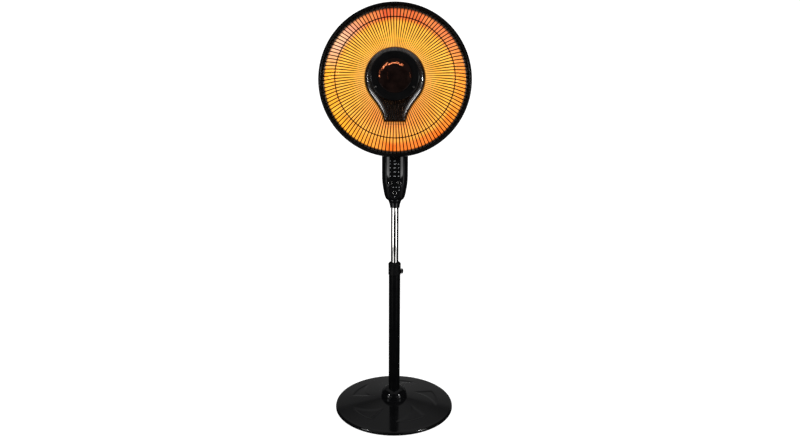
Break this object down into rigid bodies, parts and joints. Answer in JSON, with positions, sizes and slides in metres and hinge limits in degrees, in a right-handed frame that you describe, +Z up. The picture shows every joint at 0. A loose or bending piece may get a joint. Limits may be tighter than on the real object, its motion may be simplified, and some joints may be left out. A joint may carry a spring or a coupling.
{
  "type": "parabolic heater",
  "caption": "Pedestal radiant heater: round dished reflector behind a radial wire guard, keyhole lamp hood, control box, telescopic pole and round weighted base.",
  "frame": {"origin": "on the floor, under the axis of the pole, at the centre of the round base", "axes": "+Z up along the pole, -Y to the front where the reflector faces, +X to the viewer's right when facing the heater"},
  "size_m": [0.41, 0.356, 1.1732],
  "materials": {
    "black_gloss": "polished black moulding",
    "black_satin": "satin black moulding",
    "black_paint": "black powder coat with a slight gloss",
    "cover_sheet": "black heat-resistant moulding with a fine grain",
    "chrome": "bright chrome plate",
    "steel": "zinc-plated steel",
    "dish_metal": "bright rolled sheet that mirrors the lamp's orange glow",
    "guard_wire": "drawn wire, plated",
    "glow": "quartz tube with a lit filament",
    "smoked": "smoked heat-resistant glass",
    "ceramic": "unglazed steatite",
    "nylon": "natural nylon",
    "rubber": "black rubber",
    "iron": "rough casting",
    "board": "green circuit board with its soldered relay",
    "marks": "pale grey switch case"
  },
  "bodies": {
    "stand": {"base_plate": "black_gloss", "base_pan": "black_satin", "base_weight": "iron", "foot_1": "rubber", "foot_2": "rubber", "foot_3": "rubber", "foot_4": "rubber", "foot_5": "rubber", "pole_socket": "steel", "socket_bolt_1": "steel", "socket_bolt_2": "steel", "socket_bolt_3": "steel", "dome_cover": "black_gloss", "outer_pole": "black_paint", "pole_collar": "black_satin", "collar_bush": "nylon"},
    "lock": {"lock_screw": "steel", "lock_knob": "black_satin"},
    "box": {"inner_pole": "chrome", "pole_end_plug": "nylon", "neck_ferrule": "black_gloss", "pole_clamp": "black_satin", "housing_front": "black_gloss", "housing_rear": "black_gloss", "control_panel": "black_gloss", "housing_screw_1": "steel", "housing_screw_2": "steel", "housing_screw_3": "steel", "housing_screw_4": "steel", "cord_gland": "rubber", "circuit_board": "board", "tip_switch": "marks", "motor_plate": "steel", "swing_motor": "steel", "swing_washer": "nylon"},
    "power": {"button_power": "black_gloss"},
    "heat": {"button_heat": "black_gloss"},
    "swing": {"button_swing": "black_gloss"},
    "crank": {"crank_disc": "nylon"},
    "neck": {"swivel_neck": "black_satin", "swing_lever": "steel", "swing_nut": "steel"},
    "head": {"rim_front": "black_satin", "rim_rear": "black_satin", "reflector": "dish_metal", "guard": "guard_wire", "rear_cover": "cover_sheet", "hood": "black_satin", "hood_leg": "steel", "hub_plate": "black_gloss", "sight_lens": "smoked", "hub_screw_left": "steel", "hub_screw_right": "steel", "lamp_tube": "glow", "lamp_cap_left": "ceramic", "lamp_cap_right": "ceramic", "thermal_cutout": "steel", "tilt_bracket": "black_paint", "tilt_pin": "steel"},
    "tilt_lock": {"tilt_knob": "black_satin"}
  },
  "joints": [
    {"name": "height_slide", "type": "slide", "parent": "stand", "child": "box", "axis": [0, 0, 1], "range_m": [-0.155, 0.195]},
    {"name": "lock_turn", "type": "hinge", "parent": "stand", "child": "lock", "pos_m": [0, 0, 0.425], "axis": [1, 0, 0], "range_deg": [0, 540]},
    {"name": "power_press", "type": "slide", "parent": "box", "child": "power", "axis": [0, 1, 0], "range_m": [0, 0.0012], "stiffness_N_per_m": 600},
    {"name": "heat_press", "type": "slide", "parent": "box", "child": "heat", "axis": [0, 1, 0], "range_m": [0, 0.0012], "stiffness_N_per_m": 600},
    {"name": "swing_press", "type": "slide", "parent": "box", "child": "swing", "axis": [0, 1, 0], "range_m": [0, 0.0012], "stiffness_N_per_m": 600},
    {"name": "swing_turn", "type": "hinge", "parent": "box", "child": "neck", "pos_m": [0, 0, 0.79], "axis": [0, 0, 1], "range_deg": [-35, 35]},
    {"name": "crank_turn", "type": "hinge", "parent": "box", "child": "crank", "pos_m": [0, 0.014, 0.755], "axis": [0, 0, 1], "range_deg": [-105, 105]},
    {"name": "head_tilt", "type": "hinge", "parent": "neck", "child": "head", "pos_m": [0, 0.0201, 0.8568], "axis": [-1, 0, 0], "range_deg": [-7.5, 20]},
    {"name": "tilt_lock_turn", "type": "hinge", "parent": "head", "child": "tilt_lock", "pos_m": [0.02, 0.0201, 0.8568], "axis": [1, 0, 0], "range_deg": [0, 540]}
  ],
  "couplings": [
    {"joint": "crank_turn", "follows": "swing_turn", "ratio": 2.941}
  ]
}
